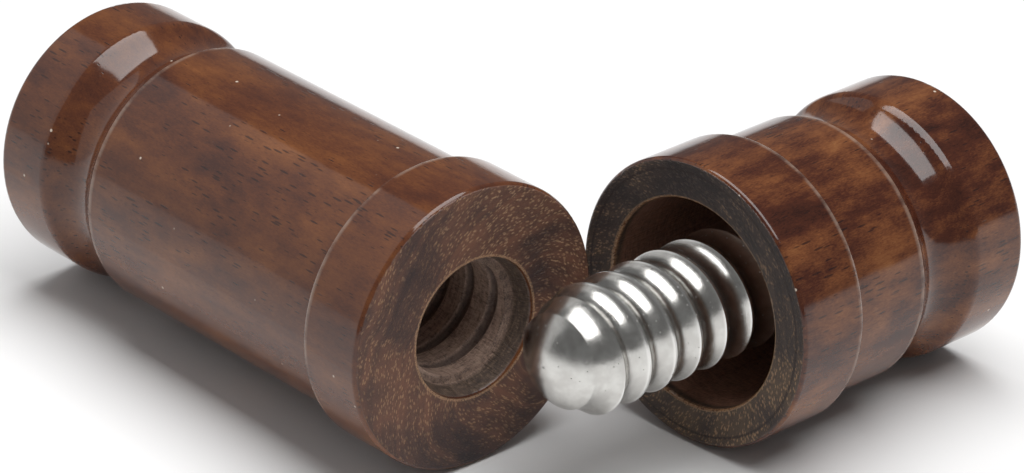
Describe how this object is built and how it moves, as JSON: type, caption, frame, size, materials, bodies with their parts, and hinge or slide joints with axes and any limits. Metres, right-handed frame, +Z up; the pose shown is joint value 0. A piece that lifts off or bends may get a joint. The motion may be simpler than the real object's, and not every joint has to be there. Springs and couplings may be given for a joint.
{
  "type": "screw nutcracker",
  "caption": "Two-piece wooden screw nutcracker: a turned barrel with a threaded bore and side nut chamber, and a cup handle with a steel thrust screw, lying apart.",
  "frame": {"origin": "middle of the footprint, on the surface that both halves lie on", "axes": "+Z up, X along the barrel, the longest extent, with the barrel's mouth towards +X; the handle lies towards +Y"},
  "size_m": [0.141, 0.115, 0.0505],
  "materials": {
    "barrel_wood": "gloss lacquer over walnut-brown stain",
    "handle_wood": "gloss lacquer over walnut-brown stain",
    "plug_wood": "gloss lacquer over walnut-brown stain",
    "screw_steel": "satin nickel plate",
    "bolt_steel": "zinc plated"
  },
  "bodies": {
    "barrel_half": {"barrel": "barrel_wood"},
    "screw_washer": {"washer": "bolt_steel"},
    "handle_half": {"handle_cup": "handle_wood", "thrust_screw": "screw_steel", "anchor_bolt": "bolt_steel", "end_plug": "plug_wood"}
  },
  "joints": [
    {"name": "handle_advance", "type": "slide", "parent": "barrel_half", "child": "screw_washer", "axis": [-0.0767, 0.9963, -0.0384], "range_m": [-0.0046, 0.0316]},
    {"name": "handle_turn", "type": "hinge", "parent": "screw_washer", "child": "handle_half", "pos_m": [0.04567, -0.00024, 0.02552], "axis": [-0.0767, 0.9963, -0.0384], "range_deg": [-270, 1890]}
  ],
  "couplings": [
    {"joint": "handle_advance", "follows": "handle_turn", "m_per_rad": 0.00095493}
  ]
}
